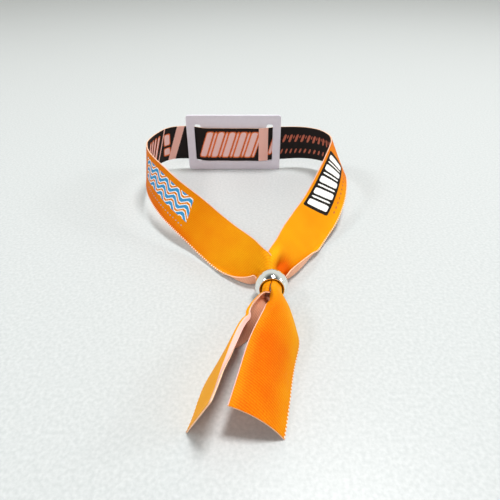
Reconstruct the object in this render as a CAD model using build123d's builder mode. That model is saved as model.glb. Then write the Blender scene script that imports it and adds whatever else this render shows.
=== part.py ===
from build123d import *
from math import acos, cos, degrees, radians, sin, sqrt
import os

# Event wristband lying open on a flat surface: one ribbon threaded through the two slots of a
# small plastic card, with both ends drawn through one ball bead and left free as tails.
# Millimetres, +Z up, and the surface is z = 0. The origin is the middle of the card's lower edge.
# The card stands in the XZ plane and the bead lies in front of it, towards -Y.

# Ribbon
ribbon_width = 15.0
ribbon_thickness = 1.0
ribbon_rise = 4.6        # lower selvedge above the surface where it crosses the card
cloth_gap = 0.15         # play between the ribbon and what it is threaded through
tuck_radius = 0.7        # middle line of the tuck that the bead presses into the ribbon

# Card
card_width = 41.0
card_height = 24.9
card_thickness = 0.8
card_corner = 1.2
card_edge = 0.2          # rounding of the card's rims
slot_width = 2.8
slot_corner = 1.0
slot_inset = 4.85        # from the card's side to the slot's middle
slot_play_below = 0.4
slot_play_above = 1.3
jog_radius = 1.2         # middle line of the ribbon where it steps through a slot
jog_angle = 50.0
side_run = 0.5           # straight ribbon past the card's side

# Bead
bead_diameter = 9.6
bore_diameter = 6.5
bore_tilt = 12.0         # the bore's front end looks up by this much
bead_offset = 13.3       # sideways from the card's middle
rim_round = 0.3
rim_run = 0.3            # straight ribbon past each rim of the bore

# Loop and tails, seen from above
loop_depth = 87.4        # from the card to the middle of the bead
loop_bulge = 24.0        # how far the sides bow out from straight lines between card and bead
tail_length = 40.0       # from the bore to a cut end, straight forward

# The ribbon's width is five lanes: lower selvedge, lower fold, middle, upper fold, upper selvedge
LANES = (0.2, 0.1, 0.4, 0.1, 0.2)

# One row for each section of a loop side, from the card to the bead.
# forward: share of the way from the card to the bore     bulge: share of loop_bulge
# lift: lowest point above the surface, share of the ribbon's width
# lean: how far the outer face tilts up                   bow: roundness of the middle lane
# tuck, cuff: turn of the upper fold inwards and of the lower fold outwards, all in degrees
# gather: what is left of the width of the three lower lanes
#          forward  bulge  lift  lean  tuck  cuff  bow  gather
LEFT_SIDE = (
    (0.025, 0.308, 0.33, 4, 0, 0, 0, 1.00),
    (0.100, 0.590, 0.36, 8, 0, 0, 0, 1.00),
    (0.200, 0.790, 0.41, 7, 0, 0, 0, 1.00),
    (0.310, 0.925, 0.47, 6, 0, 0, 0, 1.00),
    (0.430, 0.960, 0.48, 14, 0, 0, 0, 1.00),
    (0.610, 0.775, 0.34, 30, 0, 0, 0, 1.00),
    (0.780, 0.385, 0.11, 41, 0, 0, 0, 1.00),
    (0.880, 0.205, 0.04, 38, 20, 15, 0, 1.00),
    (0.950, 0.080, 0.03, 22, 85, 12, 28, 0.86),
)
RIGHT_SIDE = (
    (0.005, 0.330, 0.30, 4, 0, 0, 0, 1.00),
    (0.035, 0.680, 0.31, 9, 0, 0, 0, 1.00),
    (0.115, 0.872, 0.38, 16, 0, 0, 0, 1.00),
    (0.230, 0.952, 0.48, 25, 0, 0, 0, 1.00),
    (0.360, 0.892, 0.49, 37, 0, 0, 0, 1.00),
    (0.540, 0.695, 0.31, 51, 0, 0, 0, 1.00),
    (0.710, 0.410, 0.11, 51, 0, 0, 0, 1.00),
    (0.840, 0.205, 0.04, 46, 25, 15, 0, 1.00),
    (0.935, 0.085, 0.04, 28, 90, 15, 35, 0.86),
)

# One row for each section of a free tail, from the bore to the cut end.
# ahead, drift: shares of tail_length, forward and towards -X
#          ahead  drift  lift  lean  tuck  cuff  bow  gather
LEFT_TAIL = (
    (0.100, 0.012, 0.05, -3, 110, 0, 40, 0.76),
    (0.240, 0.096, 0.02, 9, 50, 0, 10, 0.95),
    (0.440, 0.199, 0.01, 20, 15, 0, 5, 1.00),
    (0.650, 0.267, 0.01, 24, 5, 0, 3, 1.00),
    (1.000, 0.352, 0.01, 25, 2, 0, 2, 1.00),
)
RIGHT_TAIL = (
    (0.080, -0.012, 0.08, 13, 110, 10, 60, 0.75),
    (0.190, -0.025, 0.04, 28, 55, 8, 50, 0.92),
    (0.360, -0.008, 0.03, 41, 12, 4, 36, 1.00),
    (0.600, 0.062, 0.02, 51, 4, 2, 24, 1.00),
    (1.000, 0.158, 0.01, 57, 2, 2, 12, 1.00),
)

# Worked-out places
bore_radius = bore_diameter / 2
bead_radius = bead_diameter / 2
half_bore = sqrt(bead_radius**2 - bore_radius**2)
half_run = half_bore + rim_run
bead_middle = Vector(bead_offset, -loop_depth, bead_radius)
bore_axis = Vector(0, -cos(radians(bore_tilt)), sin(radians(bore_tilt)))
bore_up = Vector(0, sin(radians(bore_tilt)), cos(radians(bore_tilt)))
slot_place = card_width / 2 - slot_inset
slot_bottom = ribbon_rise - slot_play_below
slot_length = ribbon_width + slot_play_below + slot_play_above
span_end = card_width / 2 + side_run
jog_step = card_thickness / 2 + cloth_gap + ribbon_thickness / 2


def walk(lengths, turns):
    """Gives (x, y, heading) at the start, middle and end of each lane of a bending line."""
    x, y, heading = 0.0, 0.0, 0.0
    marks = [(x, y, heading)]
    for length, turn in zip(lengths, turns):
        bend = radians(turn) / 2
        chord = length / 2 if abs(bend) < 1e-9 else length * sin(bend / 2) / bend
        for _ in range(2):
            x += chord * cos(heading + bend / 2)
            y += chord * sin(heading + bend / 2)
            heading += bend
            marks.append((x, y, heading))
    return marks


def put(marks, index, place, heading):
    """Moves and turns the marks so that one of them has the given place and heading in degrees."""
    x0, y0, h0 = marks[index]
    turn = radians(heading) - h0
    return [
        (
            place[0] + (x - x0) * cos(turn) - (y - y0) * sin(turn),
            place[1] + (x - x0) * sin(turn) + (y - y0) * cos(turn),
            h + turn,
        )
        for x, y, h in marks
    ]


def outline(marks, thickness):
    """Gives both faces of a strip of this thickness along the marks."""
    right = [(x + sin(h) * thickness / 2, y - cos(h) * thickness / 2) for x, y, h in marks]
    left = [(x - sin(h) * thickness / 2, y + cos(h) * thickness / 2) for x, y, h in marks]
    return right, left


def strip_face(plane, marks, thickness=ribbon_thickness):
    """Makes a strip's section on a plane from lines and tangent arcs, two edges for each lane."""
    right, left = outline(marks, thickness)
    edges = []
    with BuildLine(plane):
        for face in (right, left):
            for start in range(0, len(marks) - 1, 2):
                turn = marks[start + 2][2] - marks[start][2]
                if abs(turn) < radians(1):
                    edge = Line(face[start], face[start + 2], mode=Mode.PRIVATE)
                else:
                    edge = ThreePointArc(
                        face[start], face[start + 1], face[start + 2], mode=Mode.PRIVATE
                    )
                edges.append(edge)
        edges.append(Line(right[0], left[0], mode=Mode.PRIVATE))
        edges.append(Line(right[-1], left[-1], mode=Mode.PRIVATE))
    return Face(Wire(edges))


def band_marks(lean, tuck, cuff, bow, gather):
    """Marks of the ribbon's section, from the lower selvedge up, in (outward, up) directions."""
    shares = [gather * share for share in LANES[:3]] + list(LANES[3:])
    lengths = [ribbon_width * share for share in shares]
    marks = walk(lengths, (0, -cuff, bow, tuck, 0))
    return put(marks, 5, (0, 0), 90 + lean)


def roll_marks():
    """Marks of the ribbon's section in its half of the bore: along the wall, tuck, then back."""
    wall = bore_radius - cloth_gap - ribbon_thickness / 2
    flat = (cloth_gap + ribbon_thickness) / 2
    corner = wall - tuck_radius
    top = degrees(acos((flat + tuck_radius) / corner))
    low = 80
    arc = radians(top + low) * wall
    inner = wall - ribbon_thickness / 2 - cloth_gap
    drop = sqrt(inner**2 - (flat + ribbon_thickness / 2) ** 2)
    tuck = 180 - top
    share = [lane / sum(LANES[:3]) for lane in LANES[:3]]
    lengths = [arc * part for part in share]
    lengths += [tuck_radius * radians(tuck), corner * sin(radians(top)) + drop]
    turns = [(top + low) * part for part in share] + [tuck, 0]
    start = (wall * cos(radians(low)), -wall * sin(radians(low)))
    return put(walk(lengths, turns), 0, start, 90 - low)


def roll_plane(along, side):
    """Plane across the bore, this far in front of the bead's middle."""
    return Plane(
        origin=bead_middle + bore_axis * along,
        x_dir=(side, 0, 0),
        z_dir=Vector(side, 0, 0).cross(bore_up),
    )


def band_sections(places, shapes, before, after, side):
    """Gives the plane and the marks of each section that stands upright on the plan route."""
    route = [before] + places + [after]
    sections = []
    for index, (place, (lift, lean, tuck, cuff, bow, gather)) in enumerate(zip(places, shapes)):
        ahead = Vector(*route[index + 2]) - Vector(*route[index])
        outward = Vector(-ahead.Y, ahead.X).normalized() * side
        marks = band_marks(lean, tuck, cuff, bow, gather)
        lowest = min(y for face in outline(marks, ribbon_thickness) for _, y in face)
        origin = Vector(place[0], place[1], lift * ribbon_width - lowest)
        plane = Plane(origin=origin, x_dir=outward, z_dir=outward.cross(Vector(0, 0, 1)))
        sections.append((plane, marks))
    return sections


def side_sections(rows, side):
    """Sections of one loop side, from the card's side to the bore."""
    start = (side * span_end, jog_step)
    entry = bead_middle - bore_axis * half_run
    middle = bead_offset + side * (bore_radius - cloth_gap - ribbon_thickness / 2)
    places = []
    for forward, bulge, *_ in rows:
        x = start[0] + (middle - start[0]) * forward + side * bulge * loop_bulge
        y = start[1] + (entry.Y - start[1]) * forward
        places.append((x, y))
    shapes = [row[2:] for row in rows]
    return band_sections(places, shapes, start, (middle, entry.Y), side)


def tail_sections(rows, side):
    """Sections of one free tail, from the bore to the cut end."""
    leave = bead_middle + bore_axis * half_run
    middle = bead_offset + side * (bore_radius - cloth_gap - ribbon_thickness / 2)
    places = [
        (middle - drift * tail_length, leave.Y - ahead * tail_length) for ahead, drift, *_ in rows
    ]
    last = Vector(*places[-1]) * 2 - Vector(*places[-2])
    shapes = [row[2:] for row in rows]
    return band_sections(places, shapes, (middle, leave.Y), (last.X, last.Y), side)


def straight_plane(side):
    """Upright plane across the ribbon at the card's side."""
    height = ribbon_rise + ribbon_width / 2
    outward = Vector(0, 1, 0)
    origin = Vector(side * span_end, jog_step, height)
    return Plane(origin=origin, x_dir=outward, z_dir=outward.cross(Vector(0, 0, 1)))


with BuildPart() as ribbon:
    # Stretch threaded through the card: behind its margins, through the slots, across its front
    step = 2 * (jog_step - jog_radius * (1 - cos(radians(jog_angle)))) / sin(radians(jog_angle))
    bend = jog_radius * radians(jog_angle)
    jog_reach = jog_radius * sin(radians(jog_angle)) + step / 2 * cos(radians(jog_angle))
    margin = span_end - slot_place - jog_reach
    crossing = 2 * (slot_place - jog_reach)
    jog = (bend, step, bend)
    lanes = (margin, *jog, crossing, *jog, margin)
    bends = (0, -jog_angle, 0, jog_angle, 0, jog_angle, 0, -jog_angle, 0)
    crossing_plane = Plane.XY.offset(ribbon_rise)
    crossing_marks = put(walk(lanes, bends), 9, (0, -jog_step), 0)
    extrude(strip_face(crossing_plane, crossing_marks), amount=ribbon_width, dir=(0, 0, 1))

    for side, loop_rows, tail_rows in ((-1, LEFT_SIDE, LEFT_TAIL), (1, RIGHT_SIDE, RIGHT_TAIL)):
        # One end of the ribbon, rolled up in its half of the bore
        extrude(strip_face(roll_plane(0, side), roll_marks()), amount=half_run, both=True)

        # Loop side, from the card's side to the bore
        sections = [(straight_plane(side), band_marks(0, 0, 0, 0, 1))]
        sections += side_sections(loop_rows, side)
        sections += [(roll_plane(-half_run, side), roll_marks())]
        loft([strip_face(plane, marks) for plane, marks in sections])

        # Free tail, from the bore to the cut end
        sections = [(roll_plane(half_run, side), roll_marks())]
        sections += tail_sections(tail_rows, side)
        loft([strip_face(plane, marks) for plane, marks in sections])

with BuildPart() as card:
    with BuildSketch(Plane.XZ):
        with Locations((0, card_height / 2)):
            RectangleRounded(card_width, card_height, card_corner)
        slot_middle = slot_bottom + slot_length / 2
        with Locations((-slot_place, slot_middle), (slot_place, slot_middle)):
            RectangleRounded(slot_width, slot_length, slot_corner, mode=Mode.SUBTRACT)
    extrude(amount=card_thickness / 2, both=True)
    flats = card.faces().filter_by(Axis.Y)
    fillet(flats.edges(), card_edge)

with BuildPart() as bead:
    with BuildSketch(Plane(origin=bead_middle, x_dir=bore_axis, z_dir=(1, 0, 0))):
        with BuildLine():
            rim = (half_bore, bore_radius)
            ThreePointArc((-rim[0], rim[1]), (0, bead_radius), rim)
            Line(rim, (-rim[0], rim[1]))
        make_face()
        fillet(vertices(), rim_round)
    revolve(axis=Axis(bead_middle, bore_axis))

ribbon.part.label = "ribbon"
card.part.label = "card"
bead.part.label = "bead"

os.makedirs("parts", exist_ok=True)
export_step(ribbon.part, "parts/ribbon.step")
export_step(card.part, "parts/card.step")
export_step(bead.part, "parts/bead.step")
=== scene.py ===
from math import atan, pi, radians

import bpy
import numpy as np
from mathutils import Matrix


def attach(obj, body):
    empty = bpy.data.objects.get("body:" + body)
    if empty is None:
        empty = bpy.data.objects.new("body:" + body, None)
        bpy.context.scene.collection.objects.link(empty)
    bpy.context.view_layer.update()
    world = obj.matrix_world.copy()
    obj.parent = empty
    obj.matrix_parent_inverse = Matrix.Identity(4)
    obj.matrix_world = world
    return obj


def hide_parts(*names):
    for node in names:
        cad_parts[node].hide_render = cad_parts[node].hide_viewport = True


# Event wristband as the CAD frame holds it: a woven ribbon threaded through a small plastic card,
# with both ends drawn through a chromed ball bead. Metres in Blender, millimetres in the tables.
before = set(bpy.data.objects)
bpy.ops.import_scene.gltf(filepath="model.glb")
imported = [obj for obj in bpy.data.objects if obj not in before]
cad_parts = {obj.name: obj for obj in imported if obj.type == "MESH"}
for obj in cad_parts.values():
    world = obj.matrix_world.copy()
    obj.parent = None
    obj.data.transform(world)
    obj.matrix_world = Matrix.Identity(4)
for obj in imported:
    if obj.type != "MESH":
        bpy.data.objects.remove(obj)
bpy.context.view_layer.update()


# Camera at the photograph's viewpoint: in front of the tails, low over the table, tipped down at
# the bead, with a short lens from close by. The picture is 500 pixels square.
camera_tip = 35.96
camera_data = bpy.data.cameras.new("camera")
camera_data.sensor_width = 36.0
camera_data.lens = 30.96
camera_data.clip_start = 0.005
camera_data.clip_end = 20.0
camera = bpy.data.objects.new("camera", camera_data)
camera.location = (0.007117, -0.18216, 0.08597)
camera.rotation_euler = (radians(90 - camera_tip), 0.0, 0.0)
bpy.context.collection.objects.link(camera)
bpy.context.scene.camera = camera
bpy.context.scene.view_settings.view_transform = "Standard"


def linear(colour):
    """Turns an sRGB hex colour into linear values with full alpha."""
    values = [int(colour[i:i + 2], 16) / 255 for i in (1, 3, 5)]
    return [v / 12.92 if v <= 0.04045 else ((v + 0.055) / 1.055) ** 2.4 for v in values] + [1.0]


def add(tree, kind, inputs=None, **settings):
    """Adds a node with its settings, and sets or links its inputs."""
    node = tree.nodes.new("ShaderNode" + kind)
    for name, value in settings.items():
        setattr(node, name, value)
    for name, value in (inputs or {}).items():
        if isinstance(value, bpy.types.Node):
            value = value.outputs[0]
        if isinstance(value, bpy.types.NodeSocket):
            tree.links.new(value, node.inputs[name])
        else:
            node.inputs[name].default_value = value
    return node


def new_material(name):
    """Makes a material with a Principled shader and returns both and the node tree."""
    material = bpy.data.materials.new(name)
    material.use_nodes = True
    return material, material.node_tree, material.node_tree.nodes["Principled BSDF"]


# Table top: a pale laminate board, satin, with a fine grain that only breaks its reflections. It is
# drawn about 1 mm wide, coarser than real, so that it shows. It isn't part of the wristband.
board_size = 4.0
board_mesh = bpy.data.meshes.new("table_top")
half = board_size / 2
board_mesh.from_pydata(
    [(-half, -half, 0), (half, -half, 0), (half, half, 0), (-half, half, 0)], [], [(0, 1, 2, 3)]
)
board = bpy.data.objects.new("table_top", board_mesh)
bpy.context.collection.objects.link(board)
laminate, tree, shader = new_material("satin_laminate")
place = add(tree, "TexCoord").outputs["Object"]
grain = add(tree, "TexNoise", {"Vector": place, "Scale": 1100.0, "Detail": 3.0})
speck = add(tree, "MapRange", {0: grain.outputs["Fac"], 1: 0.35, 2: 0.70})
tone = add(tree, "Mix", {0: speck, 6: linear("#BABEBE"), 7: linear("#C7CACA")}, data_type="RGBA")
bump = add(tree, "Bump", {"Height": grain.outputs["Fac"], "Strength": 0.3, "Distance": 0.0001})
tree.links.new(tone.outputs[2], shader.inputs["Base Color"])
tree.links.new(bump.outputs["Normal"], shader.inputs["Normal"])
shader.inputs["Roughness"].default_value = 0.38
shader.inputs["Specular IOR Level"].default_value = 0.3
board_mesh.materials.append(laminate)


# Light: a pale room whose ceiling is darker overhead, so that the bead shows a grey cap over a pale
# rim, with a large soft lamp above, two smaller ones far to the left and right, and a wide fill
# from the viewer's side that no polished surface shows.
world = bpy.data.worlds.new("room")
bpy.context.scene.world = world
world.use_nodes = True
tree = world.node_tree
background = tree.nodes["Background"]
dark_patch = (0.0, -0.35, 0.937)
direction = add(tree, "TexCoord").outputs["Generated"]
towards = add(tree, "VectorMath", {0: direction, 1: dark_patch}, operation="DOT_PRODUCT")
sky = add(tree, "ValToRGB", {"Fac": towards.outputs["Value"]})
stops = ((0.42, "#FAFBF5"), (0.80, "#565958"))
for element, (position, colour) in zip(sky.color_ramp.elements, stops):
    element.position = position
    element.color = linear(colour)
tree.links.new(sky.outputs["Color"], background.inputs["Color"])
background.inputs["Strength"].default_value = 0.85

# All lamps are discs aimed at the bead. Name, place, size in metres, power in watts
lamp_aim = np.array((0.0133, -0.0874, 0.005))
for name, place, size, power in (
    ("ceiling_lamp", (0.17, 0.09, 0.85), 0.24, 6.6),
    ("left_lamp", (-0.60, -0.09, 0.60), 0.16, 1.5),
    ("right_lamp", (0.70, 0.03, 0.38), 0.12, 0.9),
    ("front_fill", (-0.12, -0.75, 0.72), 0.60, 2.5),
):
    lamp_data = bpy.data.lights.new(name, "AREA")
    lamp_data.shape = "DISK"
    lamp_data.size = size
    lamp_data.energy = power
    lamp = bpy.data.objects.new(name, lamp_data)
    away = np.array(place) - lamp_aim
    level = float(np.hypot(away[0], away[1]))
    turn = float(np.arctan2(away[1], away[0]))
    lamp.location = place
    lamp.visible_glossy = name != "front_fill"
    lamp.rotation_euler = (atan(level / away[2]), 0.0, turn + pi / 2)
    bpy.context.collection.objects.link(lamp)


# Ribbon: woven polyester satin, one flat strip. It runs from the left tail's cut end through the
# bead, round the left side, through the card's slots, round the right side and through the bead
# again to the right tail's cut end. The bead folds its upper edge in and its lower edge out.
ribbon_width = 15.0
ribbon_thickness = 0.32
# Across, the ribbon has five lanes: cuff, fold, main lane, fold and tuck, each of so many columns.
# A cuff wider than gather_share of the main lane is laid narrower, as if gathered. Sections stand
# step_length apart, and their turns and widths blend over blend_reach.
fold_width = 0.9
column_counts = (7, 6, 18, 6, 7)
gather_share = 0.72
step_length = 0.55
blend_reach = 1.1

# x, y, z: middle of the ribbon's main lane     lean: how far the outer face tilts up, degrees
# tuck, tuck_w: turn of the upper edge inwards and its width
# cuff, cuff_w: turn of the lower edge outwards and its width     bow: roundness of the main lane
# Rows of four values have plain edges.
#      x      y       z     lean  tuck tuck_w cuff cuff_w bow
ROUTE = (
    # left tail, from its cut end
    (-3.5, -131.5, 6.5, 25),
    (-2.5, -128.0, 6.5, 25),
    (-1.7, -124.0, 6.5, 25, 10, 0.8, 0, 0.8, 0),
    (-0.7, -119.7, 6.5, 25, 40, 0.8, 0, 0.8, 0),
    (1.1, -114.2, 6.4, 21, 90, 0.8, 0, 0.8, 0),
    (3.5, -109.1, 5.9, 15, 130, 0.8, 30, 0.9, 0),
    (5.6, -105.8, 5.3, 6, 135, 0.6, 110, 2.4, 0),
    (6.5, -104.0, 5.2, -4, 115, 0.5, 150, 3.4, 0),
    (7.8, -102.0, 5.4, -14, 98, 0.5, 160, 4.6, 0),
    (9.3, -99.9, 5.6, -26, 85, 0.5, 166, 5.6, 0),
    (10.9, -97.2, 5.2, -34, 78, 0.6, 168, 5.8, 10),
    # through the bead
    (11.4, -94.4, 4.7, -32, 90, 1.2, 165, 5.6, 55),
    (10.6, -91.4, 5.4, -8, 170, 3.0, 162, 3.0, 145),
    (10.7, -89.4, 5.2, 0, 170, 3.0, 165, 2.8, 158),
    (10.7, -87.4, 4.8, 0, 170, 3.0, 165, 2.8, 160),
    (10.7, -85.6, 4.5, 0, 170, 3.0, 165, 2.8, 158),
    (10.6, -84.1, 4.4, 4, 168, 3.2, 168, 3.2, 130),
    (10.6, -82.5, 4.7, 16, 110, 2.3, 160, 3.9, 60),
    (9.9, -81.0, 4.9, 27, 40, 1.2, 155, 3.7, 20),
    # left side
    (8.7, -79.9, 5.0, 33, 0, 0.8, 145, 2.7, 8),
    (7.0, -78.4, 5.1, 37, 0, 0.8, 135, 1.6, 0),
    (4.9, -76.3, 5.3, 40, 0, 0.8, 110, 0.8, 0),
    (2.3, -73.6, 5.7, 43, 0, 0.8, 45, 0.8, 0),
    (-1.3, -69.8, 6.1, 45),
    (-4.2, -66.4, 6.5, 45),
    (-7.6, -62.6, 7.3, 43),
    (-10.9, -59.4, 8.6, 40),
    (-14.6, -56.2, 10.2, 36),
    (-20.0, -50.9, 12.0, 30),
    (-25.9, -43.2, 13.8, 23),
    (-30.8, -34.5, 14.7, 13),
    (-33.4, -25.0, 14.6, 6),
    (-33.6, -16.0, 13.6, 7),
    (-32.0, -7.5, 12.9, 8),
    (-27.5, -1.0, 12.6, 4),
    # behind the card's sides, through its slots and in front of its middle
    (-21.5, 0.9, 12.3, 0),
    (-17.9, 0.8, 12.2, 0),
    (-15.65, 0.0, 12.15, 0),
    (-13.4, -0.8, 12.1, 0),
    (-8.0, -0.9, 12.0, 0),
    (0.0, -0.85, 11.9, 0),
    (8.0, -0.9, 11.9, 0),
    (13.4, -0.8, 11.9, 0),
    (15.65, 0.0, 11.9, 0),
    (17.9, 0.8, 11.9, 0),
    (21.5, 1.2, 11.9, 0),
    # right side
    (29.0, 1.4, 12.0, 4),
    (37.0, -1.6, 12.2, 9),
    (41.3, -8.6, 13.0, 16),
    (42.7, -17.8, 14.3, 24),
    (41.5, -25.8, 14.3, 33),
    (39.2, -33.9, 13.2, 41),
    (36.8, -40.4, 11.3, 49),
    (33.2, -48.2, 8.6, 55),
    (30.7, -52.8, 7.3, 55),
    (28.1, -57.3, 6.5, 52, 0, 0.8, 0, 0.8, 5),
    (25.6, -62.15, 6.0, 49, 0, 0.8, 20, 0.8, 10),
    (23.3, -66.6, 5.6, 48, 0, 0.8, 125, 1.0, 15),
    (21.3, -70.6, 5.3, 47, 0, 0.8, 143, 1.8, 20),
    (19.4, -74.3, 5.3, 44, 0, 0.8, 148, 2.5, 25),
    (17.6, -77.6, 5.3, 37, 15, 0.8, 154, 3.0, 35),
    # through the bead
    (16.4, -80.6, 5.1, 28, 80, 1.5, 158, 3.3, 55),
    (15.9, -82.6, 4.7, 14, 150, 2.9, 160, 3.3, 95),
    (16.0, -84.1, 4.4, 4, 168, 3.2, 165, 3.0, 135),
    (15.9, -86.0, 4.6, 0, 170, 3.0, 165, 2.8, 158),
    (15.9, -88.8, 5.1, 0, 170, 3.0, 165, 2.8, 158),
    (16.0, -91.2, 5.6, 4, 168, 2.8, 150, 2.8, 140),
    # right tail, to its cut end
    (16.0, -93.8, 5.9, 14, 125, 2.6, 70, 1.5, 80),
    (17.0, -97.0, 6.0, 24, 95, 2.8, 10, 0.8, 62),
    (17.3, -100.5, 6.0, 32, 70, 2.2, 0, 0.8, 48),
    (16.8, -104.5, 5.7, 39, 40, 1.4, 0, 0.8, 42),
    (15.3, -108.5, 5.2, 45, 0, 0.8, 0, 0.8, 44),
    (13.2, -114.4, 4.8, 51, 0, 0.8, 0, 0.8, 44),
    (11.6, -121.0, 4.5, 54, 0, 0.8, 0, 0.8, 42),
    (10.3, -126.5, 4.4, 56, 0, 0.8, 0, 0.8, 40),
    (9.2, -131.0, 4.3, 57, 0, 0.8, 0, 0.8, 38),
)
PLAIN_EDGES = (0, 0.8, 0, 0.8, 0)


def spline(marks, values, places):
    """Natural cubic spline through the values, and its slope, at the places."""
    gaps = np.diff(marks)
    count = len(marks)
    system = np.eye(count)
    right = np.zeros((count, values.shape[1]))
    for i in range(1, count - 1):
        system[i, i - 1:i + 2] = gaps[i - 1], 2 * (gaps[i - 1] + gaps[i]), gaps[i]
        rise = (values[i + 1] - values[i]) / gaps[i] - (values[i] - values[i - 1]) / gaps[i - 1]
        right[i] = 6 * rise
    bend = np.linalg.solve(system, right)
    cell = np.clip(np.searchsorted(marks, places) - 1, 0, count - 2)
    gap = gaps[cell][:, None]
    a = ((marks[cell + 1] - places)[:, None]) / gap
    b = 1 - a
    low, high = values[cell], values[cell + 1]
    point = a * low + b * high
    point += ((a**3 - a) * bend[cell] + (b**3 - b) * bend[cell + 1]) * gap**2 / 6
    slope = (high - low) / gap
    slope += ((3 * b**2 - 1) * bend[cell + 1] - (3 * a**2 - 1) * bend[cell]) * gap / 6
    return point, slope


def settle(places, values, reach):
    """Rounds off the corners of values along the places, over about this reach."""
    weights = np.exp(-(((places[:, None] - places[None, :]) / reach) ** 2) / 2)
    weights /= weights.sum(axis=1, keepdims=True)
    return weights @ values


rows = np.array([row + PLAIN_EDGES if len(row) == 4 else row for row in ROUTE], float)
chords = np.linalg.norm(np.diff(rows[:, :3], axis=0), axis=1)
marks = np.concatenate([[0.0], np.cumsum(chords)])
places = np.linspace(0.0, marks[-1], int(marks[-1] / step_length))
line, slope = spline(marks, rows[:, :3], places)
columns = np.stack([np.interp(places, marks, rows[:, k]) for k in range(3, 9)], axis=1)
columns = settle(places, columns, blend_reach)
ahead = slope / np.linalg.norm(slope, axis=1, keepdims=True)
outward = np.cross([0.0, 0.0, 1.0], ahead)
outward /= np.linalg.norm(outward, axis=1, keepdims=True)
upward = np.cross(ahead, outward)
steps = np.linalg.norm(np.diff(line, axis=0), axis=1)
along = np.concatenate([[0.0], np.cumsum(steps)])
# Places along the ribbon are counted from the card's middle, at x = 0 on the loop's far side
far_side = line[:, 1] > -20
along -= along[np.argmin(np.where(far_side, np.abs(line[:, 0]), np.inf))]

# Each section is bent in its own plane, from the cuff's selvedge to the tuck's
sheet = []
flat = []
start, stop = column_counts[0] + column_counts[1], sum(column_counts[:3])
centre = (start + stop) // 2
for point, out, up, s, (lean, tuck, tuck_w, cuff, cuff_w, bow) in zip(
    line, outward, upward, along, columns
):
    main = ribbon_width - tuck_w - cuff_w - 2 * fold_width
    lanes = (cuff_w, fold_width, main, fold_width, tuck_w)
    round_c = bow * cuff_w / main * (1 - 2 * cuff / 180)
    round_t = bow * tuck_w / main * (1 - 2 * tuck / 180)
    turns = (round_c, -cuff, bow, tuck, round_t)
    laid = (min(cuff_w, gather_share * main), *lanes[1:])
    real = np.concatenate([[lane / n] * n for lane, n in zip(lanes, column_counts)])
    widths = np.concatenate([[lane / n] * n for lane, n in zip(laid, column_counts)])
    bends = np.concatenate([[turn / n] * n for turn, n in zip(turns, column_counts)])
    heading = np.cumsum(bends) - bends / 2
    heading = np.radians(heading - (heading[centre - 1] + heading[centre]) / 2 + lean)
    side = np.concatenate([[0.0], np.cumsum(-np.sin(heading) * widths)])
    rise = np.concatenate([[0.0], np.cumsum(np.cos(heading) * widths)])
    side -= side[centre]
    rise -= rise[centre]
    sheet.append(point + side[:, None] * out + rise[:, None] * up)
    across = np.concatenate([[0.0], np.cumsum(real)])
    flat.append(np.stack([np.full_like(across, s), across, np.zeros_like(across)], axis=1))
sheet = np.array(sheet)
flat = np.array(flat)


def facing(grid):
    """Unit normals of a grid of points, towards the ribbon's outer face."""
    normal = np.cross(np.gradient(grid, axis=1), np.gradient(grid, axis=0))
    return normal / np.linalg.norm(normal, axis=2, keepdims=True)


def hump(value, middle, reach):
    """Bell shape of height 1."""
    return np.exp(-(((value - middle) / reach) ** 2))


def patches(table, start=0.0):
    """Sum of a table's soft patches at the ribbon's flat places, with s counted from start."""
    total = np.zeros_like(s_grid)
    for s, u, reach_s, reach_u, height in table:
        total += height * hump(s_grid, start + s, reach_s) * hump(u_grid, u, reach_u)
    return total


# Creases that the bead pulls into the cloth: one deep valley beside a ridge in the right side, and
# fine pleats on both sides of the bead that fade within a centimetre. In the bore they fade out
# towards its middle.
s_grid, u_grid = flat[:, :, 0], flat[:, :, 1]
bore_middle = -87.4
bore_reach = 3.0
bore_ends = (-83.7, -91.1)
rim_marks = [along[np.argmin(np.where(half, np.abs(line[:, 1] - y), np.inf))]
             for half in (along < 0, along > 0) for y in bore_ends]
pleat_depth = 0.10
pleat_pitch = 2.3
pleat_fade, pleat_reach = 3.5, 5.0
CREASES = (
    # s     u    reach_s reach_u height     s is counted from the bead on the right side
    (-4.3, 8.8, 3.2, 1.5, -1.3),
    (-5.5, 12.0, 4.4, 1.2, 0.6),
)
relief = patches(CREASES, rim_marks[2])
for mark in rim_marks:
    fade = np.exp(-np.abs(s_grid - mark) / pleat_fade)
    fade *= pleat_depth * hump(u_grid, ribbon_width / 2, pleat_reach)
    relief += fade * np.sin(2 * pi * u_grid / pleat_pitch + mark)
relief *= 1 - hump(line[:, 1], bore_middle, bore_reach)[:, None]
sheet = sheet + relief[:, :, None] * facing(sheet)

# Painted sheen and painted shade of the satin: 0 is the shaded deep orange, 1 the lit yellow
# orange, set by how each stretch lies to the light
# s: place along the ribbon     share: at mid width there
PAINTED_LIGHT_ALONG = (
    # s     share
    (-165.0, 0.85),
    (-140.0, 0.60),
    (-121.0, 0.72),
    (-96.0, 0.45),
    (-70.0, 0.30),
    (-50.0, 0.25),
    (50.0, 0.25),
    (66.0, 0.35),
    (92.0, 0.62),
    (112.0, 0.75),
    (130.0, 0.60),
    (138.0, 0.62),
    (147.0, 0.22),
    (158.0, 0.05),
    (178.0, 0.24),
)
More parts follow.
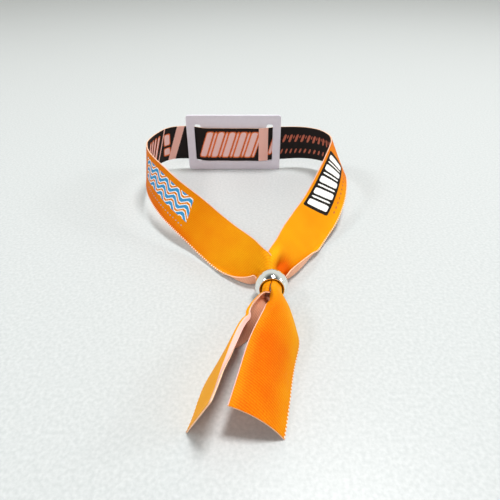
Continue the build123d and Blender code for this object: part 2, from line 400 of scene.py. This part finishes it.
# Soft patches of painted sheen and painted shade on top of it, among them a painted dark valley
# beside the right side's ridge: place, reach, and what they add
PAINTED_LIGHT_PATCHES = (
    # s     u    reach_s reach_u add
    (145.0, 3.5, 9.0, 5.0, 0.70),
    (156.0, 1.0, 9.0, 3.0, 0.30),
    (164.0, 14.6, 16.0, 1.6, 0.45),
    (170.0, 1.0, 14.0, 3.5, 0.35),
    (-88.0, 0.5, 22.0, 2.2, -0.30),
    (88.0, 1.0, 18.0, 2.5, 0.25),
    (124.0, 7.6, 4.2, 2.9, -0.95),
    (124.0, 12.8, 4.5, 1.3, 0.30),
)
painted_light = np.interp(s_grid, *np.array(PAINTED_LIGHT_ALONG).T) + patches(PAINTED_LIGHT_PATCHES)

# Nothing sinks into the table: a section that would is lifted until its lowest point rests there,
# in passes that each spread the lift less far
table_gap = 0.02
lowest = ribbon_thickness / 2 + table_gap
for reach in (1.5, 1.0, 0.5, 0.1):
    sunk = np.maximum(lowest - sheet[:, :, 2].min(axis=1), 0)
    sheet[:, :, 2] += settle(places, sunk[:, None], reach)

normals = facing(sheet) * ribbon_thickness / 2
points = np.concatenate([(sheet + normals).reshape(-1, 3), (sheet - normals).reshape(-1, 3)])
number = np.arange(s_grid.size).reshape(s_grid.shape)
back = number.size
outer = np.stack(
    [number[:-1, :-1], number[:-1, 1:], number[1:, 1:], number[1:, :-1]], axis=2
).reshape(-1, 4)
inner = outer[:, ::-1] + back


def rim(ids):
    """Faces that close the cloth's thickness along one edge."""
    return np.stack([ids[:-1], ids[1:], ids[1:] + back, ids[:-1] + back], axis=1)


edges = np.concatenate(
    [rim(number[:, 0][::-1]), rim(number[:, -1]), rim(number[0, :]), rim(number[-1, :][::-1])]
)
faces = np.concatenate([outer, inner, edges])
ribbon_mesh = bpy.data.meshes.new("woven_ribbon")
ribbon_mesh.from_pydata((points / 1000).tolist(), [], faces.tolist())
slots = np.concatenate([np.zeros(len(outer)), np.ones(len(inner)), np.full(len(edges), 2)])
ribbon_mesh.polygons.foreach_set("material_index", slots.astype(np.int32))
ribbon_mesh.polygons.foreach_set("use_smooth", np.ones(len(faces), bool))
layout = ribbon_mesh.attributes.new("flat_mm", "FLOAT_VECTOR", "POINT")
layout.data.foreach_set("vector", np.concatenate([flat.reshape(-1, 3)] * 2).ravel())
# The painted sheen and painted shade ride on every point, for both faces
painted_light_of = ribbon_mesh.attributes.new("painted_light", "FLOAT", "POINT")
painted_light_of.data.foreach_set("value", np.concatenate([painted_light.ravel()] * 2))
ribbon_mesh.update()
woven_ribbon = bpy.data.objects.new("woven_ribbon", ribbon_mesh)
bpy.context.collection.objects.link(woven_ribbon)
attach(woven_ribbon, "root")
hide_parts("ribbon")


# Design woven in with extra threads: bars, bricks, dashes and waves, drawn for this ribbon
# kind: ground black, plain cloth over the ground, pale with an orange outline, mark, white, blue
# s, u: middle of the first block     half_s, half_u: half its size
# pitch, count: repeats along the ribbon     slant: 1 for leaning blocks
BLOCKS = (
    # kind     s      u    half_s half_u pitch count slant
    ("ground", -0.5, 7.5, 51.5, 8.5, 0.0, 1, 0),
    ("plain", -26.3, 7.5, 1.7, 9.0, 0.0, 1, 1),
    ("plain", -34.6, 7.5, 0.35, 9.0, 0.0, 1, 1),
    ("plain", 12.7, 7.5, 2.1, 9.0, 0.0, 1, 0),
    ("pale", -12.2, 7.4, 1.25, 5.6, 4.9, 5, 1),
    ("pale", -9.7, 7.4, 0.35, 5.6, 4.9, 5, 1),
    ("pale", -31.0, 9.6, 1.5, 2.3, 0.0, 1, 0),
    ("pale", -31.0, 4.2, 1.5, 1.5, 0.0, 1, 0),
    ("pale", -47.8, 7.6, 0.65, 5.0, 3.2, 4, 1),
    ("pale", 17.2, 7.5, 0.7, 4.6, 0.0, 1, 1),
    ("mark", 21.8, 9.6, 0.55, 1.9, 2.7, 11, 1),
    ("mark", 23.1, 10.3, 0.25, 1.1, 2.7, 10, 1),
    ("mark", 22.6, 3.6, 0.40, 1.3, 2.1, 13, 1),
    ("ground", 77.0, 9.0, 15.5, 4.8, 0.0, 1, 1),
    ("white", 65.0, 9.0, 1.55, 3.9, 6.1, 5, 1),
    ("white", 68.0, 9.0, 0.42, 3.9, 6.1, 4, 1),
    ("mark", 63.0, 2.5, 0.8, 0.35, 2.5, 11, 0),
    ("blue", -93.0, 3.0, 0.45, 0.35, 1.6, 17, 0),
)
# The waves fill one leaning field, given by its middle and half sizes. Each wave is a blue stroke
# on a paler one, given by half their widths.
WAVE_MIDDLE = (-78.0, 8.8, 0.0)
WAVE_HALF = (15.2, 3.9)
wave_swing, wave_length, wave_spacing = 0.95, 6.6, 1.35
WAVE_STROKES = (("wave", 0.62), ("foam", 1.0))
# The design is stepped by single threads. Its blocks have rounded corners, and some lean. Past
# the ends of its run a block is elsewhere; all_across is more than any width.
thread_step = (0.22, 0.18, 1.0)
block_lean = 0.32
block_corner = 1.5
outline_width = 0.42
elsewhere = 9.0
all_across = 99.0


def woven_design(tree):
    """Shares, 0 or 1, of the woven design's colours at a point of the cloth, by kind."""
    place = add(tree, "Attribute", attribute_name="flat_mm").outputs["Vector"]
    stepped = add(tree, "VectorMath", {0: place, 1: thread_step}, operation="SNAP")
    parts = add(tree, "SeparateXYZ", {"Vector": stepped})
    step_s, step_u = parts.outputs["X"], parts.outputs["Y"]
    lean = add(tree, "Math", {0: step_u, 1: -block_lean, 2: step_s}, operation="MULTIPLY_ADD")
    lean = add(tree, "Math", {0: lean, 1: block_lean * ribbon_width / 2})
    leaning = add(tree, "CombineXYZ", {"X": lean, "Y": step_u})
    far = {}
    for kind, s, u, half_s, half_u, pitch, count, slant in BLOCKS:
        base = leaning if slant else stepped
        cell = base
        if count > 1:
            high = (s + pitch / 2, all_across, all_across)
            low = (s - pitch / 2, -all_across, -all_across)
            cell = add(tree, "VectorMath", {0: base, 1: high, 2: low}, operation="WRAP")
        off = add(tree, "VectorMath", {0: cell, 1: (s, u, 0.0)}, operation="SUBTRACT")
        off = add(tree, "VectorMath", {0: off}, operation="ABSOLUTE")
        off = add(tree, "VectorMath", {0: off, 1: (half_s, half_u, 0.0)}, operation="SUBTRACT")
        off = add(tree, "SeparateXYZ", {"Vector": off})
        beyond = {0: off.outputs["X"], 1: off.outputs["Y"], 2: block_corner}
        beyond = add(tree, "Math", beyond, operation="SMOOTH_MAX")
        if count > 1:
            run = add(tree, "SeparateXYZ", {"Vector": base}).outputs["X"]
            middle, half = s + pitch * (count - 1) / 2, pitch * count / 2
            run = add(tree, "Math", {0: run, 1: middle, 2: half}, operation="COMPARE")
            beyond = add(tree, "Math", {0: run, 1: -elsewhere, 2: beyond}, operation="MULTIPLY_ADD")
            beyond = add(tree, "Math", {0: beyond, 1: elsewhere})
        if kind in far:
            beyond = add(tree, "Math", {0: far[kind], 1: beyond}, operation="MINIMUM")
        far[kind] = beyond
    share = {}
    for kind in far:
        share[kind] = add(tree, "Math", {0: far[kind], 1: 0.0}, operation="LESS_THAN")
    share["outline"] = add(tree, "Math", {0: far["pale"], 1: outline_width}, operation="LESS_THAN")
    turn = add(tree, "Math", {0: step_s, 1: 2 * pi / wave_length}, operation="MULTIPLY")
    swell = add(tree, "Math", {0: turn}, operation="SINE")
    crest = add(tree, "Math", {0: swell, 1: -wave_swing, 2: step_u}, operation="MULTIPLY_ADD")
    stroke = add(tree, "Math", {0: crest, 1: wave_spacing}, operation="PINGPONG")
    off = add(tree, "VectorMath", {0: leaning, 1: WAVE_MIDDLE}, operation="SUBTRACT")
    off = add(tree, "VectorMath", {0: off}, operation="ABSOLUTE")
    off = add(tree, "SeparateXYZ", {"Vector": off})
    inside_s = add(tree, "Math", {0: off.outputs["X"], 1: WAVE_HALF[0]}, operation="LESS_THAN")
    inside_u = add(tree, "Math", {0: off.outputs["Y"], 1: WAVE_HALF[1]}, operation="LESS_THAN")
    inside = add(tree, "Math", {0: inside_s, 1: inside_u}, operation="MULTIPLY")
    for kind, width in WAVE_STROKES:
        drawn = add(tree, "Math", {0: stroke, 1: width}, operation="LESS_THAN")
        share[kind] = add(tree, "Math", {0: drawn, 1: inside}, operation="MULTIPLY")
    return place, share


# Satin: thread lines that lean a little. On top of the painted sheen and painted shade, they,
# single knots and wide clouds each shift the tone between the shaded and the lit colour by a share.
# A colour of None in the design is the plain cloth's. Threads 0.22 mm apart are too fine to show,
# so each drawn line stands for three of them.
line_pitch, line_lean = 0.66, 0.30
line_share, knot_share, cloud_share = 0.13, 0.45, 0.35
cloth_relief = 0.00006
DRAWING_ORDER = ("ground", "outline", "pale", "plain", "mark", "white", "foam", "wave", "blue")


def weave(tree, shader, lit, shaded, colours, strength):
    """Weaves satin on a shader; returns the place along and across, and the cloth's colour."""
    place, share = woven_design(tree)
    parts = add(tree, "SeparateXYZ", {"Vector": place})
    along_s, across_u = parts.outputs["X"], parts.outputs["Y"]
    slant = add(tree, "Math", {0: across_u, 1: line_lean, 2: along_s}, operation="MULTIPLY_ADD")
    turn = add(tree, "Math", {0: slant, 1: 2 * pi / line_pitch}, operation="MULTIPLY")
    lines = add(tree, "Math", {0: turn}, operation="SINE")
    knots = add(tree, "TexNoise", {"Vector": place, "Scale": 2.4, "Detail": 2.0})
    cloud = add(tree, "TexNoise", {"Vector": place, "Scale": 0.16, "Detail": 1.0})
    height = {0: lines, 1: 0.5, 2: knots.outputs["Fac"]}
    height = add(tree, "Math", height, operation="MULTIPLY_ADD")
    bump = add(tree, "Bump", {"Height": height, "Strength": strength, "Distance": cloth_relief})
    tree.links.new(bump.outputs["Normal"], shader.inputs["Normal"])
    # Painted sheen and painted shade, read from the ribbon's points, set the tone between the
    # shaded and the lit colour
    tone = add(tree, "Attribute", attribute_name="painted_light").outputs["Fac"]
    tone = add(tree, "Math", {0: lines, 1: line_share, 2: tone}, operation="MULTIPLY_ADD")
    for noise, weight in ((knots, knot_share), (cloud, cloud_share)):
        even = add(tree, "Math", {0: noise.outputs["Fac"], 1: -0.5})
        tone = add(tree, "Math", {0: even, 1: weight, 2: tone}, operation="MULTIPLY_ADD")
    tone = add(tree, "Clamp", {"Value": tone})
    cloth = add(tree, "Mix", {0: tone, 6: linear(shaded), 7: linear(lit)}, data_type="RGBA")
    plain = cloth.outputs[2]
    result = plain
    for kind in DRAWING_ORDER:
        over = linear(colours[kind]) if colours[kind] else plain
        result = add(tree, "Mix", {0: share[kind], 6: result, 7: over}, data_type="RGBA")
        result = result.outputs[2]
    return along_s, across_u, result


# Outer face: orange polyester satin, woven with long floats, with painted sheen and painted shade
# mixed between a lit and a shaded orange, and no mirror-like gloss. The design is black, white and
# blue there. The lower edge shows pale weft loops and the upper edge a thin pale hem that widens
# along the left tail.
loop_pitch, loop_height = 0.95, 0.40
top_hem_width, tail_hem_more = 0.2, 0.95
FACE_COLOURS = {
    "ground": "#221E1B", "outline": None, "plain": None, "pale": "#F0ECE6", "mark": "#B8633A",
    "white": "#F6F3EF", "foam": "#F3F2EE", "wave": "#3E8FC4", "blue": "#6FA9CE",
}
satin_face, tree, shader = new_material("woven_satin_face")
along_s, across_u, cloth = weave(tree, shader, "#E6A20E", "#D65A01", FACE_COLOURS, 0.5)
knot = add(tree, "Math", {0: along_s, 1: 2 * pi / loop_pitch}, operation="MULTIPLY")
knot = add(tree, "Math", {0: knot}, operation="SINE")
loops = add(tree, "MapRange", {0: knot, 1: -0.4, 2: 0.4})
hem = add(tree, "Math", {0: across_u, 1: loop_height}, operation="LESS_THAN")
hem = add(tree, "Math", {0: hem, 1: loops}, operation="MULTIPLY")
cloth = add(tree, "Mix", {0: hem, 6: cloth, 7: linear("#FBDCC0")}, data_type="RGBA").outputs[2]
on_tail = add(tree, "MapRange", {0: along_s, 1: -150.0, 2: -157.0})
hem_start = {0: on_tail, 1: -tail_hem_more, 2: ribbon_width - top_hem_width}
hem_start = add(tree, "Math", hem_start, operation="MULTIPLY_ADD")
hem = add(tree, "Math", {0: across_u, 1: hem_start}, operation="GREATER_THAN")
cloth = add(tree, "Mix", {0: hem, 6: cloth, 7: linear("#E8BAAE")}, data_type="RGBA").outputs[2]
tree.links.new(cloth, shader.inputs["Base Color"])
shader.inputs["Roughness"].default_value = 0.5
shader.inputs["Specular IOR Level"].default_value = 0.03

# Inner face: the back of the same weave, where white threads mix with the orange ones to a pale
# pink. The design shows there from behind, in black, pinkish white and orange outlines.
BACK_COLOURS = {
    "ground": "#1E1918", "outline": "#E2703A", "plain": "#F3BDB0", "pale": "#F3C9C4",
    "mark": "#C06A54", "white": "#E9A88A", "foam": "#E9A88A", "wave": "#D9A79A", "blue": "#D9A79A",
}
satin_back, tree, shader = new_material("woven_satin_back")
# The pink is mixed from a lit and a shaded copy by the same painted sheen and painted shade
*_, cloth = weave(tree, shader, "#FFC3A2", "#F0A27A", BACK_COLOURS, 0.4)
tree.links.new(cloth, shader.inputs["Base Color"])
shader.inputs["Roughness"].default_value = 0.6
shader.inputs["Specular IOR Level"].default_value = 0.15

# Selvedge and cut ends: the woven edge, where the weft turns back round the last warp threads
selvedge, tree, shader = new_material("woven_selvedge")
place = add(tree, "Attribute", attribute_name="flat_mm").outputs["Vector"]
fuzz = add(tree, "TexNoise", {"Vector": place, "Scale": 2.0, "Detail": 2.0})
tones = {0: fuzz.outputs["Fac"], 6: linear("#F7B27C"), 7: linear("#FBDDC6")}
tone = add(tree, "Mix", tones, data_type="RGBA")
bump = {"Height": fuzz.outputs["Fac"], "Strength": 0.5, "Distance": cloth_relief}
bump = add(tree, "Bump", bump)
tree.links.new(tone.outputs[2], shader.inputs["Base Color"])
tree.links.new(bump.outputs["Normal"], shader.inputs["Normal"])
shader.inputs["Roughness"].default_value = 0.6
shader.inputs["Specular IOR Level"].default_value = 0.15
for cloth_material in (satin_face, satin_back, selvedge):
    ribbon_mesh.materials.append(cloth_material)


# Card: a small tag of white PVC sheet, die-cut with two slots, satin from the laminating press.
# The press grain is drawn about 1 mm wide, coarser than real, so that it shows.
card_plastic, tree, shader = new_material("laminated_pvc")
place = add(tree, "TexCoord").outputs["Object"]
press = add(tree, "TexNoise", {"Vector": place, "Scale": 900.0, "Detail": 3.0})
tones = {0: press.outputs["Fac"], 6: linear("#DDD8E4"), 7: linear("#E6E2EC")}
tone = add(tree, "Mix", tones, data_type="RGBA")
bump = add(tree, "Bump", {"Height": press.outputs["Fac"], "Strength": 0.15, "Distance": 0.00003})
tree.links.new(tone.outputs[2], shader.inputs["Base Color"])
tree.links.new(bump.outputs["Normal"], shader.inputs["Normal"])
shader.inputs["Roughness"].default_value = 0.42
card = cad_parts["card"]
for slot in card.material_slots:
    slot.material = card_plastic


# Bead: a drilled zinc ball, barrel polished and chrome plated, nearly a mirror with faint haze.
# The haze is drawn in patches of about 2 mm, coarser than real, so that it shows.
chrome, tree, shader = new_material("chrome_plate")
place = add(tree, "TexCoord").outputs["Object"]
haze = add(tree, "TexNoise", {"Vector": place, "Scale": 500.0, "Detail": 2.0})
rough = add(tree, "MapRange", {0: haze.outputs["Fac"], 3: 0.05, 4: 0.12})
tree.links.new(rough.outputs["Result"], shader.inputs["Roughness"])
shader.inputs["Base Color"].default_value = linear("#EDEFEB")
shader.inputs["Metallic"].default_value = 1.0
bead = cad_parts["bead"]
for slot in bead.material_slots:
    slot.material = chrome
